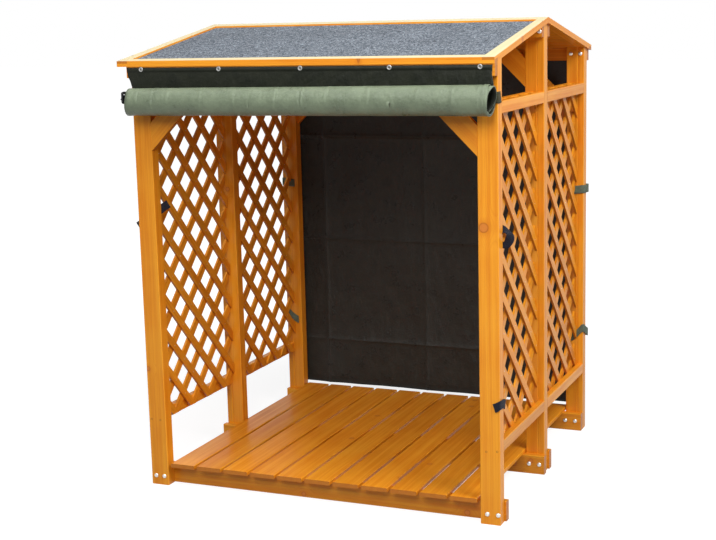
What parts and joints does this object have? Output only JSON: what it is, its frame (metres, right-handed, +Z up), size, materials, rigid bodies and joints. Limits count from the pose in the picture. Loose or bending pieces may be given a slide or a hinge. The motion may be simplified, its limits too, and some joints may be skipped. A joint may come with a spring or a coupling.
{
  "type": "log store",
  "caption": "Open timber log store with lattice sides, slatted floor, low felted gable roof, a rolled-up front tarpaulin and a hanging rear tarpaulin",
  "frame": {"origin": "middle of the footprint of the whole store, on the ground", "axes": "+Z up, X across the open front, the open front looks towards -Y, the ridge runs along X"},
  "size_m": [1.393, 1.3566, 1.675],
  "materials": {
    "timber": "honey-orange stained softwood, satin",
    "roof_felt": "mineral-granulated bitumen felt, blue-grey, matt",
    "tarpaulin": "coated woven tarpaulin, dark green, slight sheen",
    "strap_black": "black woven webbing, matt",
    "strap_green": "grey-green woven webbing, matt"
  },
  "bodies": {
    "root": {"barge_board_left_front": "timber", "barge_board_left_rear": "timber", "barge_board_right_front": "timber", "barge_board_right_rear": "timber", "bottom_rails_left": "timber", "bottom_rails_right": "timber", "floor_boards": "timber", "front_bearer": "timber", "front_braces": "timber", "front_eave_trim": "timber", "front_post_left": "timber", "front_post_right": "timber", "front_post_straps": "strap_black", "front_tarp": "tarpaulin", "front_top_beam": "timber", "lattice_left_front": "timber", "lattice_left_rear": "timber", "lattice_right_front": "timber", "lattice_right_rear": "timber", "middle_bearer_back": "timber", "middle_bearer_front": "timber", "middle_braces": "timber", "middle_post_left": "timber", "middle_post_right": "timber", "middle_stile_left": "timber", "middle_stile_right": "timber", "rear_bearer": "timber", "rear_braces": "timber", "rear_eave_trim": "timber", "rear_post_left": "timber", "rear_post_right": "timber", "rear_post_straps": "strap_green", "rear_stile_left": "timber", "rear_stile_right": "timber", "rear_tarp": "tarpaulin", "rear_top_beam": "timber", "ridge_batten_front": "timber", "ridge_batten_rear": "timber", "ridge_beam_back": "timber", "ridge_beam_front": "timber", "roof_boards_front": "timber", "roof_boards_rear": "timber", "roof_felt": "roof_felt", "top_rails_left": "timber", "top_rails_right": "timber"}
  },
  "joints": []
}
